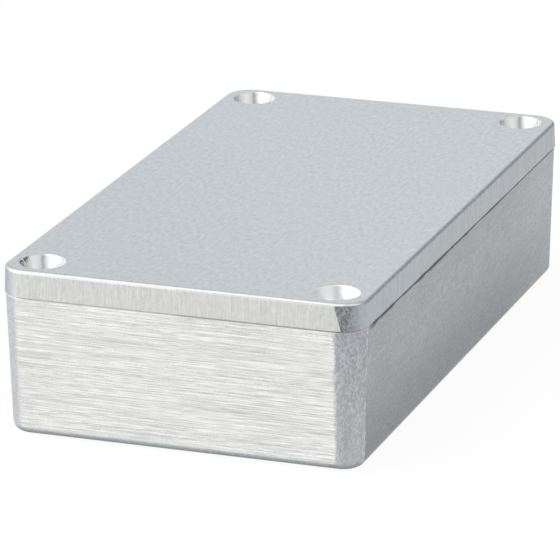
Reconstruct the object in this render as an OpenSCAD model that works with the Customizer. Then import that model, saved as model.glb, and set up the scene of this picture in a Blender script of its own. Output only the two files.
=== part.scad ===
// Die cast aluminium box with a screwed lid.
// Millimetres, +Z up. The origin is the middle of the underside, X runs across the short ends
// and Y along the long sides. The base and the lid are castings, so every wall leans by its draft
// away from the seam. Four countersunk screws go down deep tapered recesses with rounded mouths in
// the lid, into tapped pillars in the corners of the base.

/* [Overall size] */
// Width across the short ends, measured on the base at the seam
box_w = 64; // [54:1:120]
// Length along the long sides, measured on the base at the seam
box_l = 115; // [85:1:220]
// Height of the base, from its underside to the seam
base_h = 24.5; // [20:0.1:60]
// Height of the lid, from the seam to its top face
lid_h = 4.8; // [4.6:0.1:7]

/* [Casting form] */
// Radius of the upright corners at the seam
corner_r = 4.6; // [4.2:0.1:6]
// Draft of the base's walls, inside and outside, in degrees
base_draft = 1.7; // [0.5:0.05:2]
// Draft of the lid's sides, in degrees
lid_draft = 2.5; // [0.5:0.05:3]
// Radius of the bottom edge of the base
foot_r = 1.7; // [1:0.1:2.8]
// Radius of the top edge of the lid
lid_edge_r = 0.7; // [0.3:0.05:1.2]
// How far the lid stands out past the base at the seam
lid_overhang = 0.18; // [0:0.02:0.4]
// Bevel that breaks both edges of the seam
seam_bevel = 0.2; // [0.1:0.05:0.3]

/* [Walls] */
// Thickness of the base's walls
wall = 2.4; // [2.2:0.1:2.8]
// Thickness of the base's floor
floor_t = 2.4; // [2:0.1:4]
// Thickness of the lid's plate inside its rim
lid_t = 2.6; // [2:0.1:3]
// Radius between the floor and the walls inside
inner_r = 1; // [0.6:0.1:1.2]

/* [Lap joint] */
// Height of the lip that stands up from the inner edge of the base's walls
lip_h = 1; // [0.6:0.1:1.4]
// Thickness of that lip
lip_t = 1.1; // [0.8:0.1:1.3]
// Clearance round the lip in the lid's groove
lip_gap = 0.15; // [0.05:0.05:0.3]

/* [Screw recesses and pillars] */
// Distance from the long side to each screw's axis
screw_inset_x = 6; // [5.5:0.1:8]
// Distance from the short end to each screw's axis
screw_inset_y = 5.8; // [5.5:0.1:8]
// Width of a recess at the lid's top face, before its mouth is rounded
recess_d = 7.7; // [7:0.1:8.4]
// Radius of the rounded mouth of a recess
mouth_r = 0.35; // [0.2:0.05:1]
// Depth of a recess, down to the pocket for the screw's head
recess_depth = 2.55; // [2:0.05:2.8]
// Metal round each tapped hole, at the top of its pillar
pillar_wall = 2.3; // [1.8:0.1:2.6]
// Draft of the pillars, in degrees
pillar_draft = 0.5; // [0.2:0.1:0.8]
// Depth of the tapped holes
tapped_depth = 10; // [9:0.5:14]

/* [Screws] */
// Diameter of the thread
thread_d = 3; // [2.5:0.1:3.5]
// Length of a screw, head included
screw_l = 10; // [8:0.5:11]
// Diameter of the head
head_d = 5.5; // [5:0.1:6]
// Height of the upright edge of the head
head_edge = 0.4; // [0.2:0.05:0.5]
// How far the head lies below the narrow end of its recess
head_sink = 0.1; // [0:0.05:0.3]
// Clearance round the head in its seat
head_gap = 0.1; // [0.05:0.05:0.2]
// Clearance round the thread in the tapped hole
thread_gap = 0.05; // [0.02:0.01:0.1]
// Clearance round the thread in the lid
shank_gap = 0.2; // [0.1:0.05:0.4]
// Span of the cross recess in the head
cross_d = 3.1; // [2:0.1:3.5]
// Width of its slots
cross_w = 0.7; // [0.5:0.05:1]
// Depth of the cross recess
cross_depth = 1.1; // [0.8:0.1:1.2]

/* [Card guides] */
// Thickness of the circuit boards that the guides hold
board_t = 1.6; // [0.8:0.1:2]
// Clearance round a board in its slot
board_gap = 0.15; // [0.05:0.05:0.3]
// Slots along each long wall
side_slots = 5; // [1:1:7]
// Slots along each end wall
end_slots = 1; // [1:1:2]
// Distance from one slot to the next
slot_pitch = 17; // [8:0.5:20]
// Thickness of a guide rib at its crest
rib_t = 0.9; // [0.7:0.1:1.2]
// How far a rib stands in from the wall, measured at the seam
rib_reach = 1.5; // [1.2:0.1:2]
// Distance from the seam down to the top of the ribs
rib_drop = 3.5; // [2:0.5:8]

/* [Hidden] */
$fn = 64;
EPS = 0.01; // a cut runs this far past the face that it opens
BLEND = 0.001; // a rounding's arc runs this far past the faces on each side of it

// The centres of the upright corners
half_w = box_w / 2 - corner_r;
half_l = box_l / 2 - corner_r;
top_z = base_h + lid_h;
lip_outer = corner_r - wall + lip_t;
wall_inner = corner_r - wall;

screw_x = box_w / 2 - screw_inset_x;
screw_y = box_l / 2 - screw_inset_y;
pillar_r = thread_d / 2 + pillar_wall;
// A pillar is carried this deep into the walls beside it, and down into the floor to this height
pillar_root = wall / 2;
pillar_foot_z = 0.8 * floor_t;

pocket_r = head_d / 2 + head_gap;
// Lean of a recess's wall from upright, in degrees
recess_lean = atan((recess_d / 2 - pocket_r) / recess_depth);
head_top_z = top_z - recess_depth - head_sink;
cone_top_z = head_top_z - head_edge;
shank_hole_r = thread_d / 2 + shank_gap;
TIP_BEVEL = 0.45; // bevel on the end of a screw
DRILL_POINT = 59; // half the angle of the drill's point, in degrees

RIB_LEAN = 0.25; // how much thicker a rib is at its root than at its crest, on each side
slot_w = board_t + 2 * board_gap;

CORNERS = [[-1, -1], [1, -1], [-1, 1], [1, 1]];

// How far a drafted wall has moved after a height
function lean(height, draft) = height * tan(draft);

// The base's outer and inner wall faces at a height, measured out from the corner centres
function base_outer(z) = corner_r - lean(base_h - z, base_draft);
function base_inner(z) = wall_inner - lean(base_h - z, base_draft);

// The lid's side at a height
function lid_outer(z) = corner_r + lid_overhang - lean(z - base_h, lid_draft);

// What comes off the corner of a section to round it. The arc's centre is at the origin and the
// corner lies out along +x and +y. The arc runs a hair past the faces that it joins, so that it
// meets each of them in one clean edge.
module corner_cut(r) {
    difference() {
        square(r + 1);
        circle(r + BLEND);
    }
}

// Carries a section round a rounded rectangle, with a quarter turn at each corner and a straight
// run along each side. The section's x is the distance out from the corner centres.
module carried_round(to_x, to_y) {
    for (side = [0 : 3]) {
        out = side % 2 == 0 ? to_x : to_y;
        along = side % 2 == 0 ? to_y : to_x;
        rotate(90 * side) translate([out, along, 0]) {
            rotate_extrude(angle = 90) children();
            rotate([90, 0, 0]) linear_extrude(2 * along) children();
        }
    }
}

// The same, filled in the middle between two heights
module filled_round(to_x, to_y, low, high) {
    carried_round(to_x, to_y) children();
    translate([-to_x, -to_y, low]) cube([2 * to_x, 2 * to_y, high - low]);
}

// Puts something at each screw, facing the nearest corner
module at_screws() {
    for (c = CORNERS) translate([c.x * screw_x, c.y * screw_y, 0]) mirror([c.x < 0 ? 1 : 0, 0, 0])
        mirror([0, c.y < 0 ? 1 : 0, 0]) children();
}

// A drafted column round a screw's axis. Its rounded corner faces into the box and its other
// sides run into the walls.
module corner_column(low, high) {
    root_x = (screw_inset_x - pillar_root - pillar_r) / 2;
    root_y = (screw_inset_y - pillar_root - pillar_r) / 2;
    translate([root_x, root_y, 0]) filled_round(root_x, root_y, low, high)
        polygon([
            [0, low], [pillar_r + lean(base_h - low, pillar_draft), low],
            [pillar_r + lean(base_h - high, pillar_draft), high], [0, high]
        ]);
}

// ---------------------------------------------------------------- base

module base_solid() {
    lip_top = base_h + lip_h;
    filled_round(half_w, half_l, 0, lip_top) difference() {
        polygon([
            [0, 0], [base_outer(0), 0], [base_outer(base_h - seam_bevel), base_h - seam_bevel],
            [corner_r - seam_bevel, base_h], [lip_outer, base_h], [lip_outer, lip_top], [0, lip_top]
        ]);
        translate([base_outer(foot_r) - foot_r, foot_r]) rotate(270) corner_cut(foot_r);
    }
}

module base_cavity() {
    high = base_h + lip_h + 1;
    round_z = floor_t + inner_r;
    filled_round(half_w, half_l, floor_t, high) difference() {
        polygon([[0, floor_t], [base_inner(floor_t), floor_t], [wall_inner, base_h], [wall_inner, high], [0, high]]);
        translate([base_inner(round_z) - inner_r, round_z]) rotate(270) corner_cut(inner_r);
    }
}

// One rib, standing in from a wall. Its root is inside the wall and its crest is the same
// distance in all the way down.
module guide_rib() {
    root = rib_reach + wall / 2;
    low = floor_t - EPS;
    translate([0, 0, low]) linear_extrude(base_h - rib_drop - low)
        polygon([
            [-rib_reach, -rib_t / 2], [-rib_reach, rib_t / 2],
            [root - rib_reach, rib_t / 2 + RIB_LEAN], [root - rib_reach, -rib_t / 2 - RIB_LEAN]
        ]);
}

// Pairs of ribs along one wall, with a board's slot between each pair
module guide_row(slots) {
    for (i = [0 : slots - 1], edge = [-1, 1])
        translate([0, (i - (slots - 1) / 2) * slot_pitch + edge * (slot_w + rib_t) / 2, 0]) guide_rib();
}

module card_guides() {
    for (turn = [0, 180]) rotate(turn) {
        translate([box_w / 2 - wall, 0, 0]) guide_row(side_slots);
        rotate(90) translate([box_l / 2 - wall, 0, 0]) guide_row(end_slots);
    }
}

module tapped_hole() {
    r = thread_d / 2 + thread_gap;
    bottom = base_h - tapped_depth;
    rotate_extrude() polygon([
        [0, bottom - r / tan(DRILL_POINT)], [r, bottom], [r, base_h + EPS], [0, base_h + EPS]
    ]);
}

module base() {
    color("#b9bcbf") difference() {
        union() {
            difference() {
                base_solid();
                base_cavity();
            }
            at_screws() corner_column(pillar_foot_z, base_h);
            card_guides();
        }
        at_screws() tapped_hole();
    }
}

// ---------------------------------------------------------------- lid

module lid_solid() {
    round_z = top_z - lid_edge_r;
    filled_round(half_w, half_l, base_h, top_z) difference() {
        polygon([
            [0, base_h], [lid_outer(base_h) - seam_bevel, base_h],
            [lid_outer(base_h + seam_bevel), base_h + seam_bevel], [lid_outer(top_z), top_z], [0, top_z]
        ]);
        translate([lid_outer(round_z) - lid_edge_r, round_z]) corner_cut(lid_edge_r);
    }
}

// The underside is hollowed between the corner pads, down to the plate
module lid_hollow() {
    edge = wall_inner - lip_gap;
    low = base_h - 1;
    high = top_z - lid_t;
    difference() {
        filled_round(half_w, half_l, low, high)
            polygon([[0, low], [edge, low], [edge - lean(high - low, base_draft), high], [0, high]]);
        at_screws() corner_column(low - 1, high + 1);
    }
}

// The groove that the base's lip stands in
module lip_groove() {
    low = base_h - 1;
    inner = wall_inner - lip_gap;
    carried_round(half_w, half_l)
        translate([inner, low]) square([lip_outer + lip_gap - inner, lip_h + lip_gap + base_h - low]);
}

// A recess with a rounded mouth that narrows to the head's pocket, then the pocket's seat and the
// hole for the thread. The mouth's arc is centred in the metal, and runs a hair past the top face
// and the leaning wall that it joins.
module screw_hole() {
    pocket_z = top_z - recess_depth;
    arc_x = recess_d / 2 + mouth_r * tan((90 - recess_lean) / 2);
    arc_z = top_z - mouth_r;
    wall_x = arc_x - mouth_r * cos(recess_lean);
    wall_z = arc_z + mouth_r * sin(recess_lean);
    rotate_extrude() difference() {
        polygon([
            [0, base_h - 1], [shank_hole_r, base_h - 1], [shank_hole_r, cone_top_z - (pocket_r - shank_hole_r)],
            [pocket_r, cone_top_z], [pocket_r, pocket_z], [wall_x, wall_z], [arc_x, wall_z],
            [arc_x, top_z + EPS], [0, top_z + EPS]
        ]);
        translate([arc_x, arc_z]) circle(mouth_r + BLEND);
    }
}

module lid() {
    color("#c3c6c9") difference() {
        lid_solid();
        lid_hollow();
        lip_groove();
        at_screws() screw_hole();
    }
}

// ---------------------------------------------------------------- screws

module cross_recess() {
    intersection() {
        union() for (turn = [0, 90]) rotate(turn)
            translate([-cross_d / 2, -cross_w / 2, -cross_depth]) cube([cross_d, cross_w, cross_depth + EPS]);
        translate([0, 0, -cross_depth]) cylinder(h = cross_depth + EPS, r1 = cross_w / 2, r2 = cross_d / 2);
    }
}

module lid_screw(corner) {
    head_r = head_d / 2;
    thread_r = thread_d / 2;
    cone_base_z = cone_top_z - (head_r - thread_r);
    tip_z = head_top_z - screw_l;
    color("#8f9396") translate([corner.x * screw_x, corner.y * screw_y, 0]) difference() {
        rotate_extrude() polygon([
            [0, tip_z], [thread_r - TIP_BEVEL, tip_z], [thread_r, tip_z + TIP_BEVEL], [thread_r, cone_base_z],
            [head_r, cone_top_z], [head_r, head_top_z], [0, head_top_z]
        ]);
        translate([0, 0, head_top_z]) cross_recess();
    }
}

base();
lid();
lid_screw(CORNERS[0]);  // screw_front_left
lid_screw(CORNERS[1]);  // screw_front_right
lid_screw(CORNERS[2]);  // screw_back_left
lid_screw(CORNERS[3]);  // screw_back_right
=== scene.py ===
"""Finishes a die cast aluminium box: its two castings, its screws, the floor, the light and the camera."""
import math

import bmesh
import bpy
from bpy.props import FloatProperty, FloatVectorProperty, PointerProperty
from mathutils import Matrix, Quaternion, Vector


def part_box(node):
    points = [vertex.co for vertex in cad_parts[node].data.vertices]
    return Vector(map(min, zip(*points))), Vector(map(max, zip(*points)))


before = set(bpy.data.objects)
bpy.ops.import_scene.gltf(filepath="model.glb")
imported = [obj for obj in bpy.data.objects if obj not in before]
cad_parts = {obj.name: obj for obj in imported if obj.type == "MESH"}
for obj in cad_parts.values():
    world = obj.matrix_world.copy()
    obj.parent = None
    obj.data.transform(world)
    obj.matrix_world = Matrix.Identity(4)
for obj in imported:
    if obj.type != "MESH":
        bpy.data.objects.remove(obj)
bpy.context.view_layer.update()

bl_info = {
    "name": "Die Cast Aluminium Box",
    "version": (1, 0, 0),
    "blender": (4, 5, 0),
    "location": "View3D > Sidebar > Cast Box",
    "description": "Finishes the castings and the screws of a die cast aluminium box and sets up its studio",
    "category": "Object",
}

MM = 0.001
BASE_LOW, BASE_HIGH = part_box("base")
SCREWS = sorted(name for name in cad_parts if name.startswith("screw_"))

# Sizes that the frame doesn't give, in millimetres: the radius of the upright corners, of the rounded
# foot, and of a screw recess where it meets the lid's top, and the bevel beside the seam
CORNER_R = 4.6
FOOT_R = 1.7
MOUTH_R = 4.09
SEAM_BEVEL = 0.2

# Places worked out from the frame, in millimetres: the axis of the back right corner, the seam between
# the castings, and the axis of the back right screw
CORNER_X = BASE_HIGH.x / MM - CORNER_R
CORNER_Y = BASE_HIGH.y / MM - CORNER_R
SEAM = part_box("lid")[0].z / MM
SCREW_X = sum(corner.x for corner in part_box("screw_back_right")) / 2 / MM
SCREW_Y = sum(corner.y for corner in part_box("screw_back_right")) / 2 / MM


def linear(hex_colour):
    """A colour's linear red, green and blue from its sRGB hex value."""
    def channel(value):
        return value / 12.92 if value <= 0.04045 else ((value + 0.055) / 1.055) ** 2.4

    digits = hex_colour.lstrip("#")
    return tuple(channel(int(digits[i:i + 2], 16) / 255) for i in (0, 2, 4))


def colour_property(name, description, hex_colour):
    """A colour setting, with its default as an sRGB hex value."""
    return FloatVectorProperty(
        name=name, description=description, subtype="COLOR", size=3, min=0, max=1, default=linear(hex_colour)
    )


# ---------------------------------------------------------------- settings


class BoxFinish(bpy.types.PropertyGroup):
    """Colours of the castings and the screws."""

    satin: colour_property("Satin skin", "Tumbled casting, as on the lid's top", "#CBD0D4")
    # Painted light: the lid's top is coloured lighter towards the back right
    satin_painted_lighter: colour_property("Far satin", "Lighter skin towards the back right of the lid's top", "#CFD4D9")
    corner: colour_property("Corner satin", "Half-sanded casting round two corners of the base", "#C6C9CC")
    # Painted shade: the long sides of the base are coloured darker, standing in for the shade they lie in
    side: colour_property("Side skin", "Belt-dulled casting on the long sides of the base", "#A2A6AA")
    # Painted shade: darker still low on the long sides, standing in for the shadowed floor they mirror
    side_low_painted_shade: colour_property("Lower side skin", "Duller metal low on the long sides", "#858A8E")
    # Painted shade: the underside of the rounded foot is coloured dark, standing in for the shade by the
    # floor
    foot: colour_property("Foot", "Skin under the rounded foot, which nothing has rubbed", "#797D81")
    # Painted shade: the lid's long sides are coloured darker, standing in for the shade they lie in
    lid_side_painted_shade: colour_property("Lid side", "Belt-dulled casting on the long sides of the lid", "#B2B7BB")
    linished: colour_property("Linished metal", "Belt-sanded metal on the ends of the base", "#E0E0DF")
    lid_linished: colour_property("Linished lid edge", "Belt-sanded metal on the ends of the lid", "#D1D2D0")
    skin: colour_property("Corner skin", "Untouched casting skin round two corners of the base", "#BFC1C5")
    shade: colour_property("Skin shade", "Darker ground of the base's corner skin", "#9D9FA4")
    lid_skin: colour_property("Lid corner skin", "Casting skin round two of the lid's corners", "#A8ACAF")
    lid_shade: colour_property("Lid skin shade", "Darker ground of the lid's corner skin", "#6B6F73")
    # Painted reflection: a dark line along the long top edges of the lid, ragged with nicks
    nicks_and_dark_reflection: colour_property("Worn edge", "Dull metal along the long top edges of the lid", "#AAAEB2")
    turned: colour_property("Turned metal", "Cut metal inside the screw recesses", "#F0F1F1")
    polished: colour_property("Polished edge", "Top edge that the belt has rolled over", "#B6B6B4")
    # Painted shadow in the seam, and the dark patches at the left of the recesses
    seam_shadow_and_dark_patches: colour_property("Seam grime", "Dust and oil in the seam", "#6F7376")
    zinc: colour_property("Zinc plate", "Plating on the screws", "#C2C5C6")


class StageSettings(bpy.types.PropertyGroup):
    """Camera, floor and light."""

    azimuth: FloatProperty(name="Azimuth", description="Camera's turn round the box", subtype="ANGLE",
                           default=math.radians(19.845))
    elevation: FloatProperty(name="Elevation", description="Camera's angle above the floor", subtype="ANGLE",
                             default=math.radians(18.424))
    roll: FloatProperty(name="Roll", description="Camera's turn about its own axis", subtype="ANGLE",
                        default=math.radians(-0.507))
    distance: FloatProperty(name="Distance", description="From the camera to what it looks at", unit="LENGTH",
                            subtype="DISTANCE", default=0.7965)
    target: FloatVectorProperty(name="Target", description="Point that the camera looks at", unit="LENGTH",
                                subtype="XYZ", default=(-0.000486, -0.00576, 0.014159))
    lens: FloatProperty(name="Lens", description="Focal length in millimetres", unit="CAMERA", default=291.9)
    floor: colour_property("Floor", "Colour of the floor", "#FCFCFC")
    floor_size: FloatProperty(name="Floor size", description="Width of the floor", unit="LENGTH",
                              subtype="DISTANCE", default=30.0)
    glow: FloatProperty(name="Backdrop glow", description="Share of the floor's white that no shadow dims",
                        subtype="FACTOR", min=0, max=1, default=0.93)
    sky_level: FloatProperty(name="Sky level", description="Strength of the sky", default=0.88)
    sky_shade: FloatProperty(name="Sky shade", subtype="FACTOR", min=0, max=1, default=0.5,
                             description="Share of the low sky's light that is missing at the back right")
    stand_shade: FloatProperty(name="Stand shade", subtype="FACTOR", min=0, max=1, default=0.52,
                               description="Share of the sky's light that the camera's stand stops")
    top_power: FloatProperty(name="Overhead power", description="Power of the overhead softbox in watts",
                             unit="POWER", default=4.5)
    left_power: FloatProperty(name="Left power", description="Power of the softbox at the left in watts",
                              unit="POWER", default=5.2)


# ---------------------------------------------------------------- nodes


def add_node(tree, kind, inputs=(), **settings):
    """Adds a shader node, sets its properties, and fills its inputs with values or links."""
    made = tree.nodes.new(kind)
    for name, value in settings.items():
        setattr(made, name, value)
    for key, value in dict(inputs).items():
        if isinstance(value, bpy.types.NodeSocket):
            tree.links.new(value, made.inputs[key])
        else:
            made.inputs[key].default_value = value
    return made


def new_material(name):
    """A material whose node tree is still empty, and that tree."""
    material = bpy.data.materials.new(name)
    material.use_nodes = True
    material.node_tree.nodes.clear()
    return material, material.node_tree


def rgba(colour):
    """A colour as a shader's socket holds it, with full alpha."""
    return (*colour, 1.0)


class Surface:
    """Builds up one piece's colour, roughness and height from finishes laid over each other. A mask is 1
    where a finish lies and 0 where it doesn't. Lengths are in millimetres."""

    def __init__(self, tree):
        self.tree = tree
        given = add_node(tree, "ShaderNodeTexCoord").outputs
        self.place = add_node(tree, "ShaderNodeVectorMath", {0: given["Object"], "Scale": 1 / MM},
                              operation="SCALE").outputs["Vector"]
        self.x, self.y, self.z = add_node(tree, "ShaderNodeSeparateXYZ", {0: self.place}).outputs[:3]
        # How squarely a face looks right, back and up: 1 where it does, and -1 where it looks away
        right, back, self.up = add_node(tree, "ShaderNodeSeparateXYZ", {0: given["Normal"]}).outputs[:3]
        # How far a point lies from the box's middle, across and along it, and how squarely its face
        # looks out of either long side and of either end
        self.across, self.along, self.side_on, self.end_on = (
            add_node(tree, "ShaderNodeMath", {0: value}, operation="ABSOLUTE").outputs[0]
            for value in (self.x, self.y, right, back)
        )
        self.colour = self.roughness = self.height = None

    def fade(self, value, start, end):
        """0 where the value is at start and 1 where it is at end, with a smooth change between them."""
        return add_node(self.tree, "ShaderNodeMapRange", {"Value": value, "From Min": start, "From Max": end},
                        interpolation_type="SMOOTHSTEP").outputs["Result"]

    def where_all(self, *masks):
        """1 where all the masks are 1."""
        made = masks[0]
        for mask in masks[1:]:
            made = add_node(self.tree, "ShaderNodeMath", {0: made, 1: mask}, operation="MULTIPLY").outputs[0]
        return made

    def distance_from(self, x, y):
        """Distance from an upright axis or one of its three mirror images, whichever is nearest."""
        across = self.shares((1, self.across), start=-x)
        along = self.shares((1, self.along), start=-y)
        flat = add_node(self.tree, "ShaderNodeCombineXYZ", {0: across, 1: along}).outputs[0]
        return add_node(self.tree, "ShaderNodeVectorMath", {0: flat}, operation="LENGTH").outputs["Value"]

    def skin_corners(self):
        """1 on the front right and back left quarters of the box, and 0 on the other two."""
        product = add_node(self.tree, "ShaderNodeMath", {0: self.x, 1: self.y},
                           operation="MULTIPLY").outputs[0]
        return self.fade(product, 0.5, -0.5)

    def grain(self, spacing, detail=2.0, roughness=0.5, turn=(0, 0, 0), distortion=0.0):
        """Noise about 0.5, with the given distance between its marks along x, y and z."""
        turned = add_node(self.tree, "ShaderNodeMapping", {"Vector": self.place, "Rotation": turn}).outputs[0]
        scaled = add_node(self.tree, "ShaderNodeMapping",
                          {"Vector": turned, "Scale": [1 / gap for gap in spacing]}).outputs[0]
        return add_node(self.tree, "ShaderNodeTexNoise",
                        {"Vector": scaled, "Scale": 1.0, "Detail": detail, "Roughness": roughness,
                         "Distortion": distortion}).outputs[0]

    def shares(self, *patterns, start=0.0):
        """Patterns added up from a start, each by its share."""
        made = start
        for share, pattern in patterns:
            made = add_node(self.tree, "ShaderNodeMath", {0: pattern, 1: share, 2: made},
                            operation="MULTIPLY_ADD").outputs[0]
        return made

    def tint(self, colour, pattern, depth):
        """A colour made lighter and darker, by up to a depth, by a pattern about 0.5."""
        level = self.shares((2 * depth, pattern), start=1 - depth)
        grey = add_node(self.tree, "ShaderNodeCombineColor", {0: level, 1: level, 2: level}).outputs[0]
        return add_node(self.tree, "ShaderNodeMix", {0: 1.0, 6: rgba(colour), 7: grey},
                        data_type="RGBA", blend_type="MULTIPLY", clamp_result=True).outputs[2]

    def blended(self, mask, below, above):
        """The colour above where the mask is 1, and the one below where it is 0."""
        return add_node(self.tree, "ShaderNodeMix", {0: mask, 6: below, 7: above},
                        data_type="RGBA").outputs[2]

    def lay(self, mask, colour, roughness, height):
        """Lays a finish over what is there so far. The first one is the ground, and takes no mask."""
        if self.colour is None:
            self.colour, self.roughness, self.height = colour, roughness, height
            return
        self.colour = self.blended(mask, self.colour, colour)
        self.roughness = add_node(self.tree, "ShaderNodeMix",
                                  {0: mask, 2: self.roughness, 3: roughness}).outputs[0]
        self.height = add_node(self.tree, "ShaderNodeMix", {0: mask, 2: self.height, 3: height}).outputs[0]

    def finish(self, relief, ringed=None, ringed_metal=None):
        """Makes the shader, with a relief of the given depth. Where ringed is 1 the metal was turned
        round an upright axis: the tool's rings spread what it mirrors up and down, but hardly sideways."""
        bump = add_node(self.tree, "ShaderNodeBump",
                        {"Strength": 1.0, "Distance": relief * MM, "Height": self.height})
        shader = add_node(self.tree, "ShaderNodeBsdfPrincipled",
                          {"Base Color": self.colour, "Roughness": self.roughness, "Metallic": 1.0,
                           "Normal": bump.outputs[0]})
        if ringed is not None:
            upright = add_node(self.tree, "ShaderNodeCombineXYZ", {2: 1.0}).outputs[0]
            rings = add_node(self.tree, "ShaderNodeBsdfPrincipled",
                             {"Base Color": ringed_metal, "Roughness": 0.32, "Metallic": 1.0,
                              "Anisotropic": 1.0, "Tangent": upright})
            shader = add_node(self.tree, "ShaderNodeMixShader",
                              {0: ringed, 1: shader.outputs[0], 2: rings.outputs[0]})
        add_node(self.tree, "ShaderNodeOutputMaterial", {"Surface": shader.outputs[0]})


# ---------------------------------------------------------------- materials
# Here s is the Surface that a finish is laid on. A finish finds its place on the box by distances in
# millimetres and by how squarely a face looks out of a side, out of an end or up, as a cosine.


def cast_skin(s, light, dark):
    """Colour, roughness and height of die casting skin, which the belt has not touched: fine flow marks
    about 0.3 mm apart. The start keeps their pattern about 0.5."""
    marks = s.shares((0.85, s.grain((0.32, 0.32, 0.55), detail=2, roughness=0.6, distortion=0.6)),
                     (0.25, s.grain((1.6, 1.6, 2.4), detail=1)), start=-0.05)
    return s.blended(s.fade(marks, 0.36, 0.68), rgba(dark), rgba(light)), 0.44, marks


def sanded_end(s, edge, run_out):
    """1 where the belt has sanded an end. On the skin corners it stops at an edge, measured from the
    middle, with a ragged run-out. It fades away round the other two corners."""
    ragged = s.shares((2 * run_out, s.grain((0.5, 0.5, 0.9), detail=1)), start=s.across)
    past_edge = add_node(s.tree, "ShaderNodeMath", {0: ragged, 1: edge}, operation="SUBTRACT").outputs[0]
    missed = s.where_all(s.fade(past_edge, 0, 2 * run_out), s.skin_corners())
    return s.where_all(s.shares((-1, missed), start=1), s.fade(s.end_on, 0.88, 0.985),
                       s.fade(s.along, CORNER_Y, CORNER_Y + 0.6))


def lay_seam_shadow(s, finish, depth, width):
    """Painted shadow in the seam along the long sides, up to a width, ragged, and narrower towards the
    back. The depth is how far a point lies from the seam."""
    patches = s.shares((0.7, s.fade(s.grain((6.0, 7.0, 6.0), detail=2), 0.35, 0.7)),
                       (0.3, s.grain((0.4, 0.35, 0.4), detail=1)))
    reach = s.where_all(s.shares((width, patches)), s.shares((0.85, s.fade(s.y, 50.0, -50.0)), start=0.15))
    past_reach = add_node(s.tree, "ShaderNodeMath", {0: depth, 1: reach}, operation="SUBTRACT").outputs[0]
    mask = s.where_all(s.fade(past_reach, 0.25, -0.12), s.fade(s.across, CORNER_X, CORNER_X + 1.0),
                       s.fade(s.along, CORNER_Y + 1.1, CORNER_Y - 2.9))
    s.lay(mask, rgba(finish.seam_shadow_and_dark_patches), 0.6, 0.3)


def base_material(finish):
    """Pressure die cast aluminium: grey satin skin, belt-sanded bright on both ends."""
    material, tree = new_material("die_cast_aluminium_linished_ends")
    s = Surface(tree)
    # The corners that the belt has half sanded are satin, with specks about 0.5 mm apart.
    speck = s.grain((0.5, 0.6, 0.4), detail=2)
    s.lay(None, s.tint(finish.corner, speck, 0.3), 0.42, speck)

    # On the long sides faint strokes climb a little over the specks. Their colour is painted shade, darker
    # than the ends', darker still towards the foot, and painted a little lighter towards the back, as the
    # light falls.
    stroke = s.grain((9.0, 3.0, 0.5), detail=2, turn=(math.radians(-9), 0, 0))
    skin = s.shares((0.6, speck), (0.3, stroke), (0.1, s.grain((9.0, 9.0, 5.0), detail=1)))
    low = s.fade(s.z, SEAM - 6.0, 0.5)
    side = s.blended(low, s.tint(finish.side, skin, 0.6), s.tint(finish.side_low_painted_shade, skin, 0.6))
    far_painted_lighter = s.shares((0.3, s.fade(s.y, 15.0, 55.0)))
    side = s.blended(far_painted_lighter, side, s.tint(finish.corner, skin, 0.6))
    s.lay(s.fade(s.side_on, 0.9, 0.985), side, 0.42, speck)

    # Two corners keep the skin that the die gave them, a little brighter lower down, with a line of
    # bright burrs where it ends.
    round_corner = s.where_all(s.skin_corners(), s.fade(s.end_on, 0.12, 0.2),
                               s.fade(s.across, CORNER_X - 1.4, CORNER_X - 1.0))
    skin_colour, roughness, marks = cast_skin(s, finish.skin, finish.shade)
    bright = s.shares((0.15, s.fade(s.z, SEAM - 2.0, 4.0)))
    s.lay(round_corner, s.blended(bright, skin_colour, rgba(finish.linished)), roughness, marks)
    burrs = s.where_all(s.skin_corners(), s.fade(s.end_on, 0.08, 0.14), s.fade(s.end_on, 0.24, 0.18),
                        s.fade(s.grain((0.4, 0.4, 0.9), detail=1), 0.5, 0.62))
    s.lay(s.shares((0.6, burrs)), rgba(finish.linished), 0.36, 0.5)

    # On the ends the strokes are level, 3 to 20 mm long and about 0.2 mm apart, over fine specks. The
    # belt misses the foot.
    brush = s.shares((0.46, s.grain((20.0, 20.0, 0.2), detail=1)),
                     (0.4, s.grain((3.2, 3.2, 0.14), detail=1)),
                     (0.16, s.grain((0.3, 0.3, 0.2), detail=1)))
    belt = s.where_all(sanded_end(s, CORNER_X, 0.45), s.fade(s.z, FOOT_R - 1.0, FOOT_R))
    s.lay(belt, s.tint(finish.linished, brush, 1.0), 0.36, brush)

    # The skin under the rounded foot is painted dark, as the shade between the foot and the floor.
    s.lay(s.fade(s.up, 0.0, -1.0), s.tint(finish.foot, speck, 0.3), 0.46, speck)
    # Round the ends the bevel beside the seam is painted bright, and most where it turns the corners: a
    # painted highlight that lightens the bevel under the lid's overhang.
    bevel = s.where_all(s.fade(s.up, 0.3, 0.5), s.fade(s.along, CORNER_Y - 0.6, CORNER_Y + 0.4))
    bevel_painted_highlight = s.blended(s.fade(s.side_on, 0.03, 0.3), rgba(finish.linished), rgba(finish.turned))
    s.lay(bevel, bevel_painted_highlight, 0.36, 0.5)
    # Painted shadow in the seam, below it
    lay_seam_shadow(s, finish, s.shares((-1, s.z), start=SEAM - SEAM_BEVEL / 2), 0.8)
    s.finish(relief=0.03)
    return material


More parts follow.
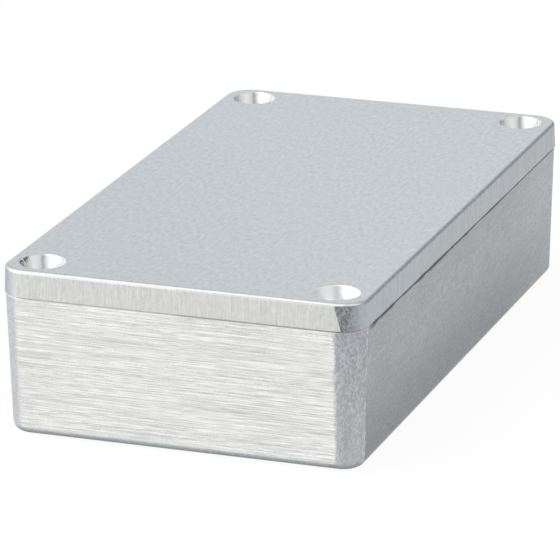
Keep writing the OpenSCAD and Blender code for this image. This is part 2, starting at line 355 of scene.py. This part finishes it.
def lid_material(finish):
    """Pressure die cast aluminium: satin tumbled top, sides belt-sanded upright."""
    material, tree = new_material("die_cast_aluminium_satin_top")
    s = Surface(tree)
    # Tumbling left the top even, with grains about 0.6 mm apart and a few bright pin pricks. Its colour is
    # painted a little lighter towards the back right, as the light falls there.
    grain = s.grain((0.65, 1.6, 0.65), detail=2)
    pricks = s.shares((0.45, s.fade(s.grain((0.35, 0.5, 0.35), detail=0), 0.74, 0.84)))
    far_painted_lighter = s.fade(s.shares((1.0, s.x), (0.6, s.y)), -45.0, 10.0)
    satin = s.blended(far_painted_lighter, s.tint(finish.satin, grain, 0.2), s.tint(finish.satin_painted_lighter, grain, 0.2))
    s.lay(None, s.blended(pricks, satin, rgba(finish.turned)), 0.44, grain)

    # The sides were sanded upright, in strokes about 0.3 mm apart, and their colour is painted darker,
    # standing in for the shade they lie in. Round two corners the skin that the die gave the lid still shows.
    upright = s.shares((0.5, s.grain((0.35, 0.35, 6.0), detail=1)),
                       (0.5, s.grain((0.6, 0.6, 1.2), detail=2)))
    upright_metal = s.tint(finish.lid_side_painted_shade, upright, 0.34)
    for reach in s.skin_corners(), s.fade(s.side_on, 0.2, 0.8):
        s.lay(s.where_all(s.fade(s.up, 0.75, 0.45), reach), upright_metal, 0.42, upright)
    skin_colour, roughness, marks = cast_skin(s, finish.lid_skin, finish.lid_shade)
    round_corner = s.where_all(s.skin_corners(), s.fade(s.end_on, 0.06, 0.12),
                               s.fade(s.side_on, 0.02, 0.06), s.fade(s.side_on, 1.0, 0.4),
                               s.fade(s.up, 0.8, 0.6))
    s.lay(round_corner, skin_colour, roughness, marks)

    # The ends were sanded square to the lid, so on the leaning corners their edge leans too.
    lines = s.shares((0.4, s.grain((0.24, 0.24, 8.0), detail=1)),
                     (0.35, s.grain((0.6, 0.6, 1.2), detail=2)),
                     (0.25, s.grain((0.3, 0.3, 0.3), detail=1)))
    lean = 0.29
    edge = s.shares((-lean, s.z), start=lean * SEAM + CORNER_X + 1.3)
    s.lay(sanded_end(s, edge, 0.1), s.tint(finish.lid_linished, lines, 0.42), 0.38, lines)

    # Round the ends the belt has rolled the top edge bright, below a dark line painted where the top starts
    # to curve, as shade in its reflection.
    painted_dark_line = s.where_all(s.fade(s.end_on, 0.03, 0.1), s.fade(s.up, 0.9, 0.94), s.fade(s.up, 0.999, 0.985))
    s.lay(s.shares((0.6, painted_dark_line)), rgba(finish.lid_skin), 0.44, 0.5)
    rolled = s.where_all(s.fade(s.end_on, 0.1, 0.3), s.fade(s.up, 0.35, 0.65), s.fade(s.up, 0.9, 0.75))
    rolled_metal = s.blended(s.fade(s.side_on, 0.03, 0.3), rgba(finish.polished), rgba(finish.turned))
    s.lay(rolled, rolled_metal, 0.3, 0.5)

    # The long top edges are left as sanded, sharp and nicked, with a ragged dark line painted along them as
    # the reflection of the dim back right.
    nicks = s.grain((0.4, 0.8, 0.4), detail=2, roughness=0.6)
    from_screw = s.distance_from(SCREW_X, SCREW_Y)
    nicks_and_dark_reflection = s.where_all(s.fade(s.side_on, 0.2, 0.35), s.fade(s.up, 0.1, 0.3), s.fade(s.up, 0.96, 0.78),
                       s.fade(s.end_on, 0.5, 0.3), s.fade(from_screw, MOUTH_R, MOUTH_R + 0.3),
                       s.fade(nicks, 0.3, 0.5))
    s.lay(nicks_and_dark_reflection, s.tint(finish.nicks_and_dark_reflection, nicks, 0.6), 0.5, nicks)

    # The recesses are turned. The front right one, where x - y is over 60 mm, is dull, and the other
    # three show the tool's rings.
    recess = s.where_all(s.fade(from_screw, MOUTH_R + 0.2, MOUTH_R), s.fade(s.up, 0.98, 0.9))
    s.lay(recess, rgba(finish.turned), 0.4, 0.5)
    ringed = s.where_all(recess, s.fade(s.shares((1.0, s.x), (-1.0, s.y)), 60.0, 50.0))

    # The left wall of each recess is darker in ragged patches, and most in the front left one, where x + y is
    # under -60 mm.
    side = add_node(tree, "ShaderNodeMath", {0: s.x}, operation="SIGN").outputs[0]
    left_wall = s.fade(s.shares((1.0, s.x), (-SCREW_X, side)), -3.1, -3.6)
    elsewhere = s.fade(s.shares((1.0, s.x), (1.0, s.y)), -60.0, -50.0)
    left_dark_patches = s.where_all(left_wall, s.fade(s.grain((0.5, 0.5, 0.9), detail=1), 0.4, 0.5),
                       s.shares((-0.75, elsewhere), start=1.0))
    left_patch_metal = s.blended(left_dark_patches, rgba(finish.turned), rgba(finish.seam_shadow_and_dark_patches))
    # Painted shadow in the seam, above it
    lay_seam_shadow(s, finish, s.shares((1, s.z), start=-SEAM - 0.02), 0.35)
    s.finish(relief=0.02, ringed=ringed, ringed_metal=left_patch_metal)
    return material


def screw_material(finish):
    """Zinc plated steel: bright, slightly blue and soft in its reflections."""
    material, tree = new_material("zinc_plated_steel")
    s = Surface(tree)
    cloud = s.grain((0.8, 0.8, 0.8), detail=2)
    s.lay(None, s.tint(finish.zinc, cloud, 0.1), 0.3, cloud)
    s.finish(relief=0.005)
    return material


# ---------------------------------------------------------------- pieces


def dress(name, material):
    """Gives a CAD node its material, joins its loose triangles and shades its curves smooth."""
    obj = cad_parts[name]
    obj.data.materials.clear()
    obj.data.materials.append(material)
    obj.data.shade_smooth()
    weld = obj.modifiers.new("joined", "WELD")
    weld.merge_threshold = 0.001 * MM
    sharp = obj.modifiers.new("sharp_edges", "EDGE_SPLIT")
    sharp.split_angle = math.radians(24)
    normals = obj.modifiers.new("flat_faces", "WEIGHTED_NORMAL")
    normals.keep_sharp = True
    normals.weight = 100


class CASTBOX_OT_base(bpy.types.Operator):
    """Finish the base casting"""

    bl_idname = "castbox.base"
    bl_label = "Base"

    def execute(self, context):
        dress("base", base_material(context.scene.castbox_finish))
        return {"FINISHED"}


class CASTBOX_OT_lid(bpy.types.Operator):
    """Finish the lid casting"""

    bl_idname = "castbox.lid"
    bl_label = "Lid"

    def execute(self, context):
        dress("lid", lid_material(context.scene.castbox_finish))
        return {"FINISHED"}


class CASTBOX_OT_screws(bpy.types.Operator):
    """Finish the screws that hold the lid"""

    bl_idname = "castbox.screws"
    bl_label = "Screws"

    def execute(self, context):
        plating = screw_material(context.scene.castbox_finish)
        for name in SCREWS:
            dress(name, plating)
        return {"FINISHED"}


# ---------------------------------------------------------------- stage


def add_floor(stage):
    """A plain white floor, a hair below the underside so that the two faces don't clash."""
    gap = 0.02 * MM
    shape = bmesh.new()
    bmesh.ops.create_grid(shape, x_segments=1, y_segments=1, size=stage.floor_size / 2)
    bmesh.ops.translate(shape, verts=shape.verts, vec=(0, 0, BASE_LOW.z - gap))
    mesh = bpy.data.meshes.new("floor")
    shape.to_mesh(mesh)
    shape.free()
    floor = bpy.data.objects.new("floor", mesh)
    bpy.context.scene.collection.objects.link(floor)
    material, tree = new_material("matt_white_paper")
    paper = add_node(tree, "ShaderNodeBsdfPrincipled",
                     {"Base Color": rgba(stage.floor), "Roughness": 0.9, "Specular IOR Level": 0.0})
    # What the camera and the metal see of the floor is part white glow, so its shadow stays soft.
    path = add_node(tree, "ShaderNodeLightPath").outputs
    seen = add_node(tree, "ShaderNodeMath", {0: path["Is Camera Ray"], 1: path["Is Glossy Ray"]},
                    operation="MAXIMUM").outputs[0]
    share = add_node(tree, "ShaderNodeMath", {0: seen, 1: stage.glow}, operation="MULTIPLY").outputs[0]
    white = add_node(tree, "ShaderNodeEmission", {"Color": (1, 1, 1, 1), "Strength": 1.0}).outputs[0]
    both = add_node(tree, "ShaderNodeMixShader", {0: share, 1: paper.outputs[0], 2: white}).outputs[0]
    add_node(tree, "ShaderNodeOutputMaterial", {"Surface": both})
    mesh.materials.append(material)


def add_sky(stage):
    """A white studio sky. It is darker low down at the back right, and where the camera's stand is."""
    world = bpy.data.worlds.new("studio")
    bpy.context.scene.world = world
    world.use_nodes = True
    tree = world.node_tree
    tree.nodes.clear()
    direction = add_node(tree, "ShaderNodeTexCoord").outputs["Generated"]

    def towards(axis, start, end):
        """How near a direction is to an axis: 0 at the cosine start and 1 at the cosine end."""
        cosine = add_node(tree, "ShaderNodeVectorMath", {0: direction, 1: Vector(axis).normalized()},
                          operation="DOT_PRODUCT").outputs["Value"]
        return add_node(tree, "ShaderNodeMapRange", {"Value": cosine, "From Min": start, "From Max": end},
                        interpolation_type="SMOOTHSTEP").outputs["Result"]

    def dimmed(level, depth, *masks):
        """A level that falls by a share where all the masks are 1."""
        for mask in masks:
            depth = add_node(tree, "ShaderNodeMath", {0: depth, 1: mask}, operation="MULTIPLY").outputs[0]
        kept = add_node(tree, "ShaderNodeMath", {0: 1.0, 1: depth}, operation="SUBTRACT").outputs[0]
        return add_node(tree, "ShaderNodeMath", {0: level, 1: kept}, operation="MULTIPLY").outputs[0]

    ahead = (math.sin(stage.azimuth), -math.cos(stage.azimuth), 0)
    aside = (math.cos(stage.azimuth), math.sin(stage.azimuth), 0)
    back_right, low = towards((0.5, 0.87, 0), 0.7, 0.94), towards((0, 0, 1), 0.6, 0.25)
    level = dimmed(stage.sky_level, stage.sky_shade, back_right, low)
    # The stand is an upright band behind the camera. To each side it is full up to a cosine of 0.1, and
    # ends at 0.26.
    band = towards(aside, 0.26, 0.1), towards(aside, -0.26, -0.1)
    level = dimmed(level, stage.stand_shade, towards(ahead, 0.1, 0.3), *band)
    sky = add_node(tree, "ShaderNodeBackground", {"Color": (1, 1, 1, 1), "Strength": level})
    add_node(tree, "ShaderNodeOutputWorld", {"Surface": sky.outputs[0]})


def add_softbox(name, direction, distance, size, power):
    """A rectangular light that faces the origin from a direction and a distance."""
    light = bpy.data.lights.new(name, "AREA")
    light.shape = "RECTANGLE"
    light.size, light.size_y = size
    light.energy = power
    lamp = bpy.data.objects.new(name, light)
    bpy.context.scene.collection.objects.link(lamp)
    away = Vector(direction).normalized()
    lamp.location = away * distance
    lamp.rotation_mode = "QUATERNION"
    lamp.rotation_quaternion = (-away).to_track_quat("-Z", "Y")


def add_camera(stage):
    """The camera, turned round its target by the azimuth and raised by the elevation."""
    data = bpy.data.cameras.new("camera")
    data.lens = stage.lens
    data.sensor_width = 36
    data.clip_start, data.clip_end = 0.01, 100
    camera = bpy.data.objects.new("camera", data)
    bpy.context.scene.collection.objects.link(camera)
    azimuth, elevation = stage.azimuth, stage.elevation
    back = Vector((math.sin(azimuth) * math.cos(elevation), -math.cos(azimuth) * math.cos(elevation),
                   math.sin(elevation)))
    camera.location = Vector(stage.target) + back * stage.distance
    camera.rotation_mode = "QUATERNION"
    camera.rotation_quaternion = (-back).to_track_quat("-Z", "Y") @ Quaternion((0, 0, 1), stage.roll)
    bpy.context.scene.camera = camera


class CASTBOX_OT_stage(bpy.types.Operator):
    """Set up the floor, the light and the camera"""

    bl_idname = "castbox.stage"
    bl_label = "Stage"

    def execute(self, context):
        stage = context.scene.castbox_stage
        add_floor(stage)
        add_sky(stage)
        add_softbox("overhead_softbox", direction=(-0.35, -0.35, 0.87), distance=1.2, size=(1.0, 1.0),
                    power=stage.top_power)
        add_softbox("left_softbox", direction=(-0.82, -0.57, 0.3), distance=1.2, size=(1.6, 0.8),
                    power=stage.left_power)
        add_camera(stage)
        context.scene.view_settings.view_transform = "Standard"
        return {"FINISHED"}


class CASTBOX_PT_panel(bpy.types.Panel):
    """Lists the box's pieces and its settings"""

    bl_idname = "CASTBOX_PT_panel"
    bl_label = "Cast Box"
    bl_space_type = "VIEW_3D"
    bl_region_type = "UI"
    bl_category = "Cast Box"

    def draw(self, context):
        for operator in OPERATORS:
            self.layout.operator(operator.bl_idname)
        for group in (context.scene.castbox_finish, context.scene.castbox_stage):
            column = self.layout.column()
            for name in group.__annotations__:
                column.prop(group, name)


OPERATORS = (CASTBOX_OT_base, CASTBOX_OT_lid, CASTBOX_OT_screws, CASTBOX_OT_stage)
CLASSES = (BoxFinish, StageSettings, *OPERATORS, CASTBOX_PT_panel)


def register():
    for cls in CLASSES:
        bpy.utils.register_class(cls)
    bpy.types.Scene.castbox_finish = PointerProperty(type=BoxFinish)
    bpy.types.Scene.castbox_stage = PointerProperty(type=StageSettings)


def unregister():
    del bpy.types.Scene.castbox_stage
    del bpy.types.Scene.castbox_finish
    for cls in reversed(CLASSES):
        bpy.utils.unregister_class(cls)


def main():
    """Sets up the stage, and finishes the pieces."""
    register()
    bpy.ops.castbox.stage()
    bpy.ops.castbox.base()
    bpy.ops.castbox.lid()
    bpy.ops.castbox.screws()


if __name__ == "__main__":
    main()
